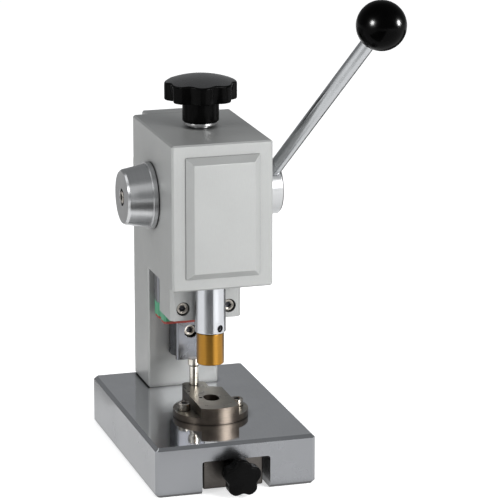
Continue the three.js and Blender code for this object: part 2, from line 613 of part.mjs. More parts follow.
function lockSpindle() {
  const { spindle, reach, shoeTop } = LOCK;
  const end = KNOB.foot + reach;
  const bar = turned([
    [0, shoeTop + FACE_GAP], [spindle - 1, shoeTop + FACE_GAP],
    [spindle, shoeTop + 1], [spindle, end], [0, end],
  ], 16);
  return piece('lock_spindle', bar.translate([0, SHAFT.y, 0]), screwSteel);
}

function knobSeat() {
  const { base, radius, step, thickness } = KNOB_SEAT;
  const bottom = HEAD.top + FACE_GAP;
  const ring = turned([
    [0, bottom], [base, bottom], [base, bottom + step], [radius, bottom + step],
    [radius, bottom + thickness - 0.5], [radius - 0.5, bottom + thickness], [0, bottom + thickness],
  ], 24);
  const bored = cut(ring, rod(LOCK.spindle + FIT_GAP, bottom - 1, bottom + 5, 16));
  return piece('knob_seat_ring', bored.translate([0, SHAFT.y, 0]), chrome);
}

// The shoe straddles the gear, and its two legs bear on the shaft when the top knob is screwed down.
function brakeShoe() {
  const { shoeTop, shoeWidth, shoeDepth, legIn, gap } = LOCK;
  const [w, d] = [shoeWidth / 2, shoeDepth / 2];
  const legBottom = SHAFT.z + SHAFT.radius - 3;
  const whole = block(-w, w, SHAFT.y - d, SHAFT.y + d, legBottom, shoeTop);
  const between = block(-legIn, legIn, SHAFT.y - d - 1, SHAFT.y + d + 1, legBottom - 1, shoeTop - 5.5);
  const saddle = along.x(rod(SHAFT.radius + gap, -w - 1, w + 1)).translate([0, SHAFT.y, SHAFT.z]);
  return piece('brake_shoe', cut(whole, between, saddle), brass);
}

// ---------------------------------------------------------------- die
function diePlate() {
  const bottom = BASE.height + FACE_GAP;
  const ledge = bottom + DIE.flange;
  const disc = rod(DIE.radius, bottom, ledge, 36);
  const puck = rod(DIE.radius, bottom, DIE.top, 36)
    .intersect(block(DIE.left, DIE.right, -40, 40, bottom - 1, DIE.top + 1));
  const { left, right, rear, corner } = DIE_LOBE;
  const back = rear - PRESS_Y;
  const lobe = raised([
    [left, 0], [right, 0], ...arc(right - corner, back - corner, corner, 0, 90, 4),
    ...arc(left + corner, back - corner, corner, 90, 180, 4),
  ], bottom, DIE.top);
  const shank = turned([
    [0, DIE.shankBottom], [DIE.shank - 1, DIE.shankBottom], [DIE.shank, DIE.shankBottom + 1],
    [DIE.shank, bottom + 1], [0, bottom + 1],
  ], 24);
  const nest = raised(obround(NEST.width, NEST.length), DIE.shankBottom - 1, DIE.top + 1)
    .translate([NEST.x, 0, 0]);
  const pip = rod(PIP_HOLE.radius, DIE.top - 7, DIE.top + 1, 12)
    .translate([PIP_HOLE.x, PIP_HOLE.y - PRESS_Y, 0]);
  const postHole = rod(POST.radius - 0.6 + FIT_GAP, DIE.top - POST.root - 0.5, DIE.top + 1, 20)
    .translate([POST.x, POST.y - PRESS_Y, 0]);
  const screwHoles = [-DIE_SCREW_X, DIE_SCREW_X].map((x) =>
    rod(SIZES.M5.thread + FIT_GAP, bottom - 1, DIE.top + 1, 10).translate([x, 0, 0]));
  const headRoom = [-DIE_SCREW_X, DIE_SCREW_X].map((x) =>
    rod(SIZES.M5.head + 0.5, ledge, DIE.top + 1, 16).translate([x, 0, 0]));
  const made = cut(join(disc, puck, lobe, shank), nest, pip, postHole, ...screwHoles, ...headRoom);
  return piece('die_plate', made.translate([0, PRESS_Y, 0]), dieSteel);
}

function guidePost() {
  const { x, y, radius, head, headFrom, top, root } = POST;
  const body = turned([
    [0, DIE.top - root], [radius - 0.6, DIE.top - root], [radius - 0.6, DIE.top + FACE_GAP],
    [radius, DIE.top + FACE_GAP], [radius, headFrom], [head, headFrom + 0.6],
    [head, top - 0.6], [head - 0.6, top], [0, top],
  ], 16);
  return piece('guide_post', body.translate([x, y, 0]), chrome);
}

// ---------------------------------------------------------------- front clamp
function clampBlock() {
  const { width, front, rear, top, bottom, z, stud } = CLAMP;
  const body = chamferedBox(width, rear - front, top - bottom, 0.6)
    .translate([0, (front + rear) / 2, bottom]);
  const studWay = along.y(rod(stud + FIT_GAP, front - 1, rear + 1, 16)).translate([0, 0, z]);
  const screws = [-CLAMP_SCREW.x, CLAMP_SCREW.x].flatMap((x) => [
    rod(SIZES.M5.thread + FIT_GAP, bottom - 1, top + 1, 10).translate([x, CLAMP_SCREW.y, 0]),
    rod(SIZES.M5.head + 0.3, bottom - 1, bottom + 6.4, 12).translate([x, CLAMP_SCREW.y, 0]),
  ]);
  return piece('clamp_block', cut(body, studWay, ...screws), groundSteel);
}

const padBack = PRESS_Y - DIE.shank - 0.3;
const padFront = padBack - CLAMP.pad;

function clampPad() {
  const bar = turned([
    [0, padFront], [5, padFront], [5, padBack - 0.6], [4.4, padBack], [0, padBack],
  ], 16);
  return piece('clamp_pad', along.y(bar).translate([0, 0, CLAMP.z]), brass);
}

function clampStud() {
  const { stud } = CLAMP;
  const end = padFront - FACE_GAP;
  const start = FRONT_KNOB.front + 6;
  const bar = turned([[0, start], [stud, start], [stud, end - 1], [stud - 1, end], [0, end]], 16);
  return piece('clamp_stud', along.y(bar).translate([0, 0, CLAMP.z]), screwSteel);
}

function frontKnob() {
  const { radius, lobes, hollow, front, back, hub, hubEnd } = FRONT_KNOB;
  const star = raised(starOutline(radius, lobes, hollow, 90), front, back, 1.2);
  const neck = rod(hub, back - 1, hubEnd, 18);
  const bore = rod(CLAMP.stud + FIT_GAP, front + 5.5, hubEnd + 1, 16);
  const made = cut(join(star, neck), bore);
  return piece('front_knob', along.y(made).translate([0, 0, CLAMP.z]), blackPlastic);
}

// ---------------------------------------------------------------- the whole press
const dieScrewSeat = BASE.height + FACE_GAP + DIE.flange + FACE_GAP;
const railScrewSeat = COLUMN.front - FACE_GAP - RAIL.height + 8.5 - FACE_GAP;
const sliderScrewSeat = SLIDER.front + SLIDER_SCREWS.depth - FACE_GAP;

const frame = assembly(
  basePlate(), column(), headHousing(), frontPanel(), linearRail(), knobSeat(), diePlate(), guidePost(),
  clampBlock(), bushing('left_bushing', -1), bushing('right_bushing', 1),
  ...COLUMN_BOLTS.map(([x, y], i) =>
    capScrew(`column_bolt_${i + 1}`, 'M8', BASE.height - COLUMN_BOLT_SEAT + 22,
      [x, y, COLUMN_BOLT_SEAT - FACE_GAP], [0, 0, 1])),
  ...HEAD_BOLTS.map(([x, z], i) =>
    capScrew(`head_bolt_${i + 1}`, 'M6', 22, [x, HEAD.rear - HEAD.backWall - FACE_GAP, z], [0, 1, 0])),
  ...PANEL_SCREWS.map(([x, z], i) =>
    capScrew(`panel_screw_${i + 1}`, 'M3', HEAD.side + 3.5, [x, frontWall + FACE_GAP, z], [0, -1, 0])),
  ...railHoleHeights().map((z, i) =>
    capScrew(`rail_screw_${i + 1}`, 'M5', 22, [0, railScrewSeat, z], [0, 1, 0])),
  ...[-DIE_SCREW_X, DIE_SCREW_X].map((x, i) =>
    capScrew(`die_screw_${i + 1}`, 'M5', 14, [x, PRESS_Y, dieScrewSeat], [0, 0, -1])),
  ...[-CLAMP_SCREW.x, CLAMP_SCREW.x].map((x, i) =>
    capScrew(`clamp_screw_${i + 1}`, 'M5', 23, [x, CLAMP_SCREW.y, CLAMP.bottom + 6.3], [0, 0, 1])),
);

const ramSlide = assembly(
  ...carriagePieces(), sliderBlock(), ram(), pusher(), ramSetScrew(),
  ...SLIDER_SCREW_SPOTS.map(([x, z], i) =>
    capScrew(`slider_screw_${i + 1}`, 'M5', 28, [x, sliderScrewSeat, z], [0, 1, 0])),
  ...RAM_SCREW_Z.map((z, i) =>
    capScrew(`ram_screw_${i + 1}`, 'M4', 28, [0, RAM_SCREW_SEAT + FACE_GAP, z], [0, -1, 0])),
);

const lockGroup = assembly(topKnob(), lockSpindle(), brakeShoe());
const frontClamp = assembly(frontKnob(), clampStud(), clampPad());

export default assembly(frame, ramSlide, shaftAssembly(), lockGroup, frontClamp);
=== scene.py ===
import json
import math

import bmesh
import bpy
import numpy as np
from mathutils import Matrix, Vector


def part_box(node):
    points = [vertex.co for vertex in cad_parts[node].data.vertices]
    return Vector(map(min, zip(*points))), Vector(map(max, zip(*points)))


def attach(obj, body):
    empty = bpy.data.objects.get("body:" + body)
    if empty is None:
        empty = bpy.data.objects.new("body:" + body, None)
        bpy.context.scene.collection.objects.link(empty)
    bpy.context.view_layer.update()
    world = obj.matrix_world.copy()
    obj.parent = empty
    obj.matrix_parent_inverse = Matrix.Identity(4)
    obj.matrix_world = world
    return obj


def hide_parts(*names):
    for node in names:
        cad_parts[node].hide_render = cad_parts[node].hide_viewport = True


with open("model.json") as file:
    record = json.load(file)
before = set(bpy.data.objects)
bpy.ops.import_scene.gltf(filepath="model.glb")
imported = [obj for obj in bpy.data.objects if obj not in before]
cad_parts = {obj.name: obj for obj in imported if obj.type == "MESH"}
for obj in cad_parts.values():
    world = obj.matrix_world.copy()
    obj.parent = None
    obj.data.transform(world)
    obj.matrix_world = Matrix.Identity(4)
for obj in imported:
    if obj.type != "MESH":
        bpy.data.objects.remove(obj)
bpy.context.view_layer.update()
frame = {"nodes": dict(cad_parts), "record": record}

MM = 0.001
FINE = 96                    # sides of a large round piece
SMOOTH_ANGLE = math.radians(38)
EDGE = 0.35                  # usual rounding of a machined edge
SHARP_TURN = math.radians(40)    # an edge that turns by more than this is rounded
MERGE = 0.002                # points closer than this are one point
FLAT_TURN = math.radians(0.6)    # neighbouring faces that turn by less than this are one face
SOCKET_FACET = math.pi / 3   # angle that one side of a hexagon socket takes

X, Y, Z = Vector((1, 0, 0)), Vector((0, 1, 0)), Vector((0, 0, 1))
DRAWN_ON_YZ = Matrix(((0, 0, 1, 0), (1, 0, 0, 0), (0, 1, 0, 0), (0, 0, 0, 1)))    # x, y, z become y, z, x

BODIES = frame["record"]["behaviour"]["bodies"]
BODY_OF = {node: body for body, nodes in BODIES.items() for node in nodes}


# ------------------------------------------------------------------ places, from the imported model
def box(node):
    """Lowest and highest corner of a node in millimetres."""
    low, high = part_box(node)
    return low / MM, high / MM


def middle(node):
    """Centre of a node's box in millimetres."""
    low, high = box(node)
    return (low + high) / 2


def reach(node, axis, start=Vector()):
    """How far a node's points lie along an axis from a start point, nearest and farthest."""
    along = [(v.co / MM - start).dot(axis) for v in frame["nodes"][node].data.vertices]
    return min(along), max(along)


# ------------------------------------------------------------------ mesh tools
def mesh_object(name, points, faces):
    """An object in the scene from points in millimetres and faces, with all faces turned outward."""
    mesh = bpy.data.meshes.new(name)
    mesh.from_pydata([tuple(Vector(p) * MM) for p in points], [], faces)
    work = bmesh.new()
    work.from_mesh(mesh)
    bmesh.ops.recalc_face_normals(work, faces=work.faces)
    work.to_mesh(mesh)
    work.free()
    piece = bpy.data.objects.new(name, mesh)
    bpy.context.scene.collection.objects.link(piece)
    return piece


def apply_modifiers(piece):
    """Makes the result of a piece's modifiers its own mesh."""
    evaluated = piece.evaluated_get(bpy.context.evaluated_depsgraph_get())
    made = bpy.data.meshes.new_from_object(evaluated)
    piece.modifiers.clear()
    piece.data = made
    return piece


def rounded(points, size, steps=4, closed=False):
    """The line with each corner turned into a short curve; size is its reach along each side."""
    count = len(points)
    vectors = [np.array(p, float) for p in points]
    made = []
    for i, corner in enumerate(vectors):
        if not closed and i in (0, count - 1):
            made.append(tuple(corner))
            continue
        before, after = vectors[i - 1] - corner, vectors[(i + 1) % count] - corner
        trim = min(size, 0.45 * np.linalg.norm(before[:2]), 0.45 * np.linalg.norm(after[:2]))
        first = corner + before / np.linalg.norm(before[:2]) * trim
        last = corner + after / np.linalg.norm(after[:2]) * trim
        for k in range(steps + 1):
            t = k / steps
            made.append(tuple((1 - t) ** 2 * first + 2 * t * (1 - t) * corner + t * t * last))
    return made


def no_dip(_):
    """A round outline: nothing comes off the radius at any angle."""
    return 0.0


def hex_dip(turn):
    """How far a hexagon falls short of its corner circle, as a share of that circle's radius."""
    half = SOCKET_FACET / 2
    return 1 - math.cos(half) / math.cos(turn % SOCKET_FACET - half)


def lofted(name, layers, dip=no_dip, sides=FINE, closed=False):
    """Rings about +Z from (radius, z, depth) layers; depth times dip(angle) is taken off the radius.
    z is a height, or a function that gives the height at a radius."""
    points, rings = [], []
    for radius, z, depth in layers:
        if radius < 1e-6:
            rings.append([len(points)] * sides)
            points.append((0, 0, z(0.0) if callable(z) else z))
            continue
        rings.append(list(range(len(points), len(points) + sides)))
        for k in range(sides):
            turn = 2 * math.pi * k / sides
            reach_out = radius - depth * dip(turn)
            height = z(reach_out) if callable(z) else z
            points.append((reach_out * math.cos(turn), reach_out * math.sin(turn), height))
    faces = []
    pairs = list(zip(rings, rings[1:]))
    if closed:
        pairs.append((rings[-1], rings[0]))
    for lower, upper in pairs:
        for k in range(sides):
            face = [lower[k], lower[(k + 1) % sides], upper[(k + 1) % sides], upper[k]]
            face = list(dict.fromkeys(face))
            if len(face) > 2:
                faces.append(face)
    return mesh_object(name, points, faces)


def turned(name, profile, size=EDGE, sides=FINE, closed=False):
    """A turned solid about +Z from (radius, z) points, with its corners rounded."""
    layers = [(radius, z, 0.0) for radius, z in rounded(profile, size, closed=closed)]
    return lofted(name, layers, sides=sides, closed=closed)


def cylinder(name, radius, z0, z1, sides=48):
    return lofted(name, [(0, z0, 0), (radius, z0, 0), (radius, z1, 0), (0, z1, 0)], sides=sides)


def slab(name, outline, z0, z1):
    """A flat outline of (x, y) points raised from z0 to z1."""
    count = len(outline)
    points = [(x, y, z0) for x, y in outline] + [(x, y, z1) for x, y in outline]
    faces = [list(range(count)), list(range(count, 2 * count))]
    faces += [[k, (k + 1) % count, count + (k + 1) % count, count + k] for k in range(count)]
    return mesh_object(name, points, faces)


def brick(name, low, high):
    """A box between two corners."""
    (x0, y0, z0), (x1, y1, z1) = low, high
    return slab(name, [(x0, y0), (x1, y0), (x1, y1), (x0, y1)], z0, z1)


def move(piece, place, toward=Z):
    """Turns a piece's +Z toward a direction and carries it to a place, inside its mesh."""
    turn = Z.rotation_difference(Vector(toward)).to_matrix().to_4x4()
    piece.data.transform(Matrix.Translation(Vector(place) * MM) @ turn)
    return piece


def cut(piece, *tools):
    """Takes the tools' shapes out of a piece and deletes the tools."""
    for tool in tools:
        step = piece.modifiers.new("step", "BOOLEAN")
        step.operation = "DIFFERENCE"
        step.solver = "EXACT"
        step.object = tool
    apply_modifiers(piece)
    for tool in tools:
        bpy.data.objects.remove(tool)
    return piece


def clean(piece):
    """Merges doubled points and flat neighbouring faces."""
    work = bmesh.new()
    work.from_mesh(piece.data)
    bmesh.ops.remove_doubles(work, verts=work.verts, dist=MERGE * MM)
    bmesh.ops.dissolve_limit(work, angle_limit=FLAT_TURN, verts=work.verts, edges=work.edges)
    bmesh.ops.recalc_face_normals(work, faces=work.faces)
    work.to_mesh(piece.data)
    work.free()
    return piece


def soften_edges(piece, width, segments=3):
    """Rounds every sharp edge."""
    clean(piece)
    bevel = piece.modifiers.new("edges", "BEVEL")
    bevel.width = width * MM
    bevel.segments = segments
    bevel.limit_method = "ANGLE"
    bevel.angle_limit = SHARP_TURN
    bevel.miter_outer = "MITER_ARC"
    return apply_modifiers(piece)


def shade(piece):
    """Smooth shading that keeps flats flat and sharp edges sharp."""
    piece.data.polygons.foreach_set("use_smooth", [True] * len(piece.data.polygons))
    piece.data.set_sharp_from_angle(angle=SMOOTH_ANGLE)
    weighted = piece.modifiers.new("weighted", "WEIGHTED_NORMAL")
    weighted.keep_sharp = True
    weighted.weight = 90
    return apply_modifiers(piece)


def stand_for(piece, node, look, painted_light_faces=(), painted_light_look=None):
    """Finishes a piece that takes a node's place: its shading, materials and body."""
    shade(piece)
    piece.data.materials.clear()
    piece.data.materials.append(look)
    # The listed faces take a second material that paints lighting: shade inside screw sockets, a lighter dome
    # on the top knob.
    if painted_light_faces:
        piece.data.materials.append(painted_light_look)
        for index in painted_light_faces:
            piece.data.polygons[index].material_index = 1
    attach(piece, BODY_OF[node])
    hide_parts(node)
    return piece


def from_cad(node, look, width=0.4, segments=3):
    """The node's own shape with rounded edges."""
    piece = bpy.data.objects.new(f"{node}_fine", frame["nodes"][node].data.copy())
    bpy.context.scene.collection.objects.link(piece)
    soften_edges(piece, width, segments)
    return stand_for(piece, node, look)


# ------------------------------------------------------------------ material tools
class Look:
    """A procedural material under construction, with its nodes at hand."""

    def __init__(self, name, colour, metallic):
        self.material = bpy.data.materials.new(name)
        self.material.use_nodes = True
        self.tree = self.material.node_tree
        self.shader = self.tree.nodes["Principled BSDF"]
        self.shader.inputs["Metallic"].default_value = metallic
        self.colour = colour
        self.coordinates = self.node("ShaderNodeTexCoord").outputs["Object"]

    def node(self, kind, inputs=None, **settings):
        """A new node with its settings; each input is another node's output or a constant."""
        made = self.tree.nodes.new(kind)
        for key, value in settings.items():
            setattr(made, key, value)
        for key, value in (inputs or {}).items():
            if isinstance(value, bpy.types.NodeSocket):
                self.tree.links.new(value, made.inputs[key])
            else:
                made.inputs[key].default_value = value
        return made

    def math(self, operation, first, second=0.0):
        return self.node("ShaderNodeMath", {0: first, 1: second}, operation=operation).outputs[0]

    def stretched(self, scale):
        """The object's coordinates, stretched along the axes whose scale is small."""
        return self.node("ShaderNodeMapping", {"Vector": self.coordinates, "Scale": scale}).outputs[0]

    def about(self, axis, centre):
        """Coordinates (distance along the axis, distance from it, 0), for marks left by turning."""
        inputs = {"Vector": self.coordinates, "Location": tuple(-centre * MM)}
        moved = self.node("ShaderNodeMapping", inputs)
        parts = self.node("ShaderNodeSeparateXYZ", {0: moved.outputs[0]}).outputs
        along = "XYZ".index(axis)
        others = [parts[i] for i in range(3) if i != along]
        squares = [self.math("MULTIPLY", side, side) for side in others]
        away = self.math("SQRT", self.math("ADD", *squares))
        return self.node("ShaderNodeCombineXYZ", {0: parts[along], 1: away}).outputs[0]

    def noise(self, vector, size, detail=3.0, roughness=0.55):
        """Noise whose blotches are about size millimetres across, from 0 to 1."""
        inputs = {"Vector": vector, "Scale": 1 / (size * MM), "Detail": detail, "Roughness": roughness}
        return self.node("ShaderNodeTexNoise", inputs).outputs[0]

    def between(self, value, low, high, start=0.3, end=0.7):
        """Carries a value from the range start to end over to the range low to high, and no further."""
        inputs = {"Value": value, "From Min": start, "From Max": end, "To Min": low, "To Max": high}
        return self.node("ShaderNodeMapRange", inputs).outputs[0]

    def blend(self, share, first, second):
        """A colour between two, each of them another node's output or a constant."""
        sockets = {0: share}
        for index, colour in ((6, first), (7, second)):
            sockets[index] = colour if isinstance(colour, bpy.types.NodeSocket) else (*colour, 1)
        return self.node("ShaderNodeMix", sockets, data_type="RGBA").outputs[2]

    def worn_edges(self, radius):
        """0 on flats and up to 1 along edges."""
        soft = self.node("ShaderNodeBevel", {"Radius": radius * MM}, samples=4).outputs[0]
        plain = self.node("ShaderNodeNewGeometry").outputs["Normal"]
        match = self.node("ShaderNodeVectorMath", {0: soft, 1: plain}, operation="DOT_PRODUCT")
        return self.between(match.outputs["Value"], 1.0, 0.0, 0.8, 0.995)

    def bump(self, height, depth):
        inputs = {"Height": height, "Distance": depth * MM, "Strength": 1.0}
        relief = self.node("ShaderNodeBump", inputs).outputs[0]
        self.tree.links.new(relief, self.shader.inputs["Normal"])

    def painted_recess_shade(self, tone, distance, dark=0.15):
        """Paints shade into the colour: darker in corners and recesses, as found by ambient occlusion."""
        inputs = {"Distance": distance * MM}
        light = self.node("ShaderNodeAmbientOcclusion", inputs, samples=6).outputs["AO"]
        share = self.between(light, 1.0, 0.0, 0.25, 0.8)
        return self.blend(share, tone, tuple(channel * dark for channel in self.colour))

    def brushed(self, axis, amount):
        """Stretches reflections along an axis, across marks that run round it."""
        tangent = self.node("ShaderNodeTangent", direction_type="RADIAL", axis=axis)
        self.tree.links.new(tangent.outputs[0], self.shader.inputs["Tangent"])
        self.shader.inputs["Anisotropic"].default_value = amount
        self.shader.inputs["Anisotropic Rotation"].default_value = 0.25

    def facing_up(self):
        """1 on level upper faces and 0 on upright ones."""
        normal = self.node("ShaderNodeNewGeometry").outputs["Normal"]
        rise = self.node("ShaderNodeSeparateXYZ", {0: normal}).outputs[2]
        return self.between(rise, 0.0, 1.0, 0.5, 0.95)

    def finish(self, colour, roughness):
        self.tree.links.new(colour, self.shader.inputs["Base Color"])
        self.tree.links.new(roughness, self.shader.inputs["Roughness"])
        return self.material


def shades(colour, spread):
    """A darker and a lighter shade of a colour, each off by the share spread."""
    darker = tuple(channel * (1 - spread) for channel in colour)
    lighter = tuple(min(1.0, channel * (1 + spread)) for channel in colour)
    return darker, lighter


def machined(name, colour, metallic, roughness, grain=(1, 1, 1), grain_size=0.5, depth=0.004,
             spread=0.05, mottle=22.0, wear=0.0, painted_recess_shade=0.0, top=None):
    """Metal or paint with a fine grain and slow blotches. Where asked it has brighter worn edges, painted
    shade darkening its corners and recesses, and upper faces with a colour of their own, painted lighter for
    the light that falls on them, and a roughness of their own."""
    look = Look(name, colour, metallic)
    fine = look.noise(look.stretched(grain), grain_size, 4.0, 0.6)
    slow = look.noise(look.coordinates, mottle, 3.0)
    mixed = look.math("ADD", look.math("MULTIPLY", fine, 0.5), look.math("MULTIPLY", slow, 0.5))
    dark, light = shades(colour, spread)
    tone = look.blend(look.between(mixed, 0, 1, 0.35, 0.65), dark, light)
    rough = look.between(slow, roughness * 0.85, roughness * 1.2)
    # Painted light: level upper faces take a lighter colour that stands for the light falling on them; the
    # sides keep the darker, shaded colour.
    if top:
        lit_top_colour, top_roughness = top
        level = look.facing_up()
        lit_top_tone = look.blend(look.between(mixed, 0, 1, 0.35, 0.65), *shades(lit_top_colour, spread))
        tone = look.blend(level, tone, lit_top_tone)
        top_rough = look.between(slow, top_roughness * 0.8, top_roughness * 1.3)
        rough = look.math("ADD", look.math("MULTIPLY", rough, look.math("SUBTRACT", 1.0, level)),
                          look.math("MULTIPLY", level, top_rough))
    if wear:
        bare = shades(colour, 0.3)[1]
        tone = look.blend(look.math("MULTIPLY", look.worn_edges(0.8), wear), tone, bare)
    # Painted shade: corners and recesses are darkened in the colour.
    if painted_recess_shade:
        tone = look.painted_recess_shade(tone, painted_recess_shade)
    look.bump(fine, depth)
    return look.finish(tone, rough)


def lathe_marked(name, colour, roughness, axis, centre, pitch=0.35, depth=0.003, spread=0.08,
                 brushed=0.75, painted_recess_shade=2.5):
    """Metal turned about an axis: fine rings in its colour, gloss and relief, and painted shade in its
    recesses.
    """
    look = Look(name, colour, 1.0)
    rings = look.noise(look.about(axis, centre), pitch, 3.0, 0.65)
    slow = look.noise(look.coordinates, 14.0, 3.0)
    dark, light = shades(colour, spread)
    tone = look.blend(look.between(rings, 0, 1, 0.3, 0.7), dark, light)
    rough = look.math("ADD", look.between(rings, roughness * 0.93, roughness * 1.06),
                      look.between(slow, -0.02, 0.03))
    look.brushed(axis, brushed)
    look.bump(rings, depth)
    # Painted shade darkens the recesses in the colour.
    return look.finish(look.painted_recess_shade(tone, painted_recess_shade), rough)


def moulded(name, colour, roughness, skin=0.9, depth=0.002, shine=0.5):
    """Moulded plastic or rubber: a faint skin texture, handling marks and dust in the colour."""
    look = Look(name, colour, 0.0)
    fine = look.noise(look.coordinates, skin, 3.0)
    slow = look.noise(look.coordinates, 9.0, 4.0)
    dark, light = shades(colour, 0.2)
    tone = look.blend(look.between(slow, 0, 1), dark, light)
    rough = look.between(slow, roughness * 0.8, roughness * 1.35)
    look.shader.inputs["Specular IOR Level"].default_value = shine
    look.bump(fine, depth)
    return look.finish(tone, rough)


# ------------------------------------------------------------------ materials
PRESS = middle("pusher")             # a point on the ram's axis
SHAFT = middle("cross_shaft")        # a point on the cross shaft's axis
LOCK = middle("lock_spindle")        # a point on the top knob's axis
POST = middle("guide_post")          # a point on the guide post's axis

# The recess darkening that these looks are given is painted shade.
satin_silver = machined("satin_silver_look", (0.335, 0.34, 0.335), 0.35, 0.38, grain=(1, 1, 0.12),
                        grain_size=0.45, depth=0.003, spread=0.035, mottle=30, wear=0.35, painted_recess_shade=5)
# The base's lighter top colour is painted light on its upper faces; its sides are the shaded copy.
ground_steel = machined("ground_steel_look", (0.22, 0.225, 0.235), 1.0, 0.24, grain=(1, 0.06, 1),
                        grain_size=0.35, depth=0.0012, spread=0.06, mottle=35, wear=0.5, painted_recess_shade=7,
                        top=((0.60, 0.61, 0.63), 0.07))
clamp_steel = machined("clamp_steel_look", (0.085, 0.078, 0.072), 1.0, 0.3, grain=(0.1, 1, 1),
                       spread=0.15, painted_recess_shade=4)
dark_steel = machined("dark_steel_look", (0.165, 0.17, 0.185), 1.0, 0.26, grain=(1, 1, 0.05),
                      grain_size=0.3, depth=0.002, spread=0.15, painted_recess_shade=4)
rack_steel = machined("rack_steel_look", (0.30, 0.30, 0.31), 1.0, 0.3, spread=0.12)
screw_steel = machined("screw_steel_look", (0.30, 0.28, 0.25), 1.0, 0.26, grain_size=0.3, spread=0.12,
                       mottle=3, painted_recess_shade=2.5)
# Black oxide for the set screws; the same near-black also paints the shade inside the cap screws' sockets.
black_oxide_and_socket_shade = machined("black_oxide_look", (0.05, 0.05, 0.055), 1.0, 0.35, spread=0.2, mottle=2)
spring_steel = machined("spring_steel_look", (0.2, 0.2, 0.21), 1.0, 0.3, spread=0.15, mottle=4)
bronze = machined("bronze_look", (0.50, 0.33, 0.12), 1.0, 0.34, spread=0.12, mottle=8)
# The die's lighter top colour is painted light on its upper faces; its sides are the shaded copy.
die_steel = machined("die_steel_look", (0.12, 0.10, 0.082), 1.0, 0.34, grain=(0.05, 0.05, 1),
                     grain_size=0.4, depth=0.008, spread=0.25, mottle=9, wear=0.4, painted_recess_shade=2.5,
                     top=((0.29, 0.27, 0.235), 0.3))
rod_chrome = machined("rod_chrome_look", (0.40, 0.41, 0.42), 1.0, 0.24, grain_size=0.3, spread=0.05)
chrome_ring = lathe_marked("chrome_ring_look", (0.42, 0.42, 0.42), 0.3, "Z", LOCK, painted_recess_shade=1)
ram_chrome = lathe_marked("ram_chrome_look", (0.48, 0.49, 0.51), 0.24, "Z", PRESS, pitch=0.3, depth=0.001)
post_chrome = lathe_marked("post_chrome_look", (0.56, 0.53, 0.48), 0.2, "Z", POST, pitch=0.4)
pusher_brass = lathe_marked("pusher_brass_look", (0.31, 0.155, 0.027), 0.3, "Z", PRESS, pitch=0.4,
                            depth=0.0025, spread=0.08)
shaft_steel = lathe_marked("turned_steel_look", (0.45, 0.455, 0.46), 0.3, "X", SHAFT, pitch=0.6, depth=0.0004,
                           spread=0.04, brushed=0.5)
black_gloss = moulded("black_gloss_look", (0.0012, 0.0012, 0.0012), 0.16, depth=0.001, shine=0.03)
knob_gloss = moulded("knob_gloss_look", (0.0015, 0.0015, 0.0015), 0.16, depth=0.001, shine=0.03)
# A lighter copy of the knob's black plastic for the dome's upper faces: painted sheen of the light falling on
# the dome.
knob_dome_lit = moulded("knob_dome_look", (0.02, 0.02, 0.021), 0.24, depth=0.001, shine=0.7)
black_satin = moulded("black_satin_look", (0.003, 0.003, 0.003), 0.26, skin=0.5, depth=0.003, shine=0.03)
green_plastic = moulded("green_plastic_look", (0.05, 0.26, 0.14), 0.4)
red_rubber = moulded("red_rubber_look", (0.28, 0.035, 0.025), 0.6)


# ------------------------------------------------------------------ socket head screws
SCREW_SIZES = {              # by head radius: thread radius, head height, socket corner radius
    2.75: (1.5, 3.0, 1.45),
    3.5: (2.0, 4.0, 1.75),
    4.25: (2.5, 5.0, 2.3),
    5.0: (3.0, 6.0, 2.9),
    6.5: (4.0, 8.0, 3.5),
}


def socket_face(face, socket, height):
    """Whether a face lies inside the hexagon socket of a screw that points up."""
    away = math.hypot(face.center.x, face.center.y) / MM
    return away < socket and height * 0.2 < face.center.z / MM < height - 0.1


def socket_screw(node, toward):
    """A cap screw whose thread points along a direction, where the node is."""
    low, high = box(node)
    size = high - low
    across = max(size[i] for i in range(3) if abs(toward[i]) < 0.5) / 2
    head = min(SCREW_SIZES, key=lambda radius: abs(radius - across))
    thread, height, socket = SCREW_SIZES[head]
    length = abs(size.dot(toward)) - height
    socket_floor = height * 0.45
    profile = [
        (0, socket_floor - 0.6, 0), (socket, socket_floor, socket), (socket, height - 0.35, socket),
        (socket + 0.45, height, 0), (head - 0.45, height, 0), (head, height - 0.5, 0), (head, 0.15, 0),
        (head - 0.15, 0, 0), (thread + 0.2, 0, 0), (thread, -0.3, 0), (thread, -length + 0.5, 0),
        (thread - 0.5, -length, 0), (0, -length, 0),
    ]
    piece = lofted(f"{node}_fine", profile, hex_dip, sides=48)
    # Painted shade: the faces inside the socket take the near-black material.
    painted_light_faces = [face.index for face in piece.data.polygons if socket_face(face, socket, height)]
    half = abs(size.dot(toward)) / 2
    seat = (low + high) / 2 - toward * (half - height)
    move(piece, seat, -toward)
    return stand_for(piece, node, screw_steel, painted_light_faces, black_oxide_and_socket_shade)


def all_screws():
    """Every cap screw: the stem of its name, how many there are and where their threads point."""
    groups = (
        ("die_screw", 2, -Z), ("clamp_screw", 2, Z), ("column_bolt", 2, Z), ("slider_screw", 4, Y),
        ("rail_screw", 3, Y), ("head_bolt", 4, Y), ("panel_screw", 4, -Y), ("ram_screw", 2, -Y),
    )
    for stem, count, toward in groups:
        for number in range(1, count + 1):
            socket_screw(f"{stem}_{number}", toward)
    socket_screw("cap_screw", X)


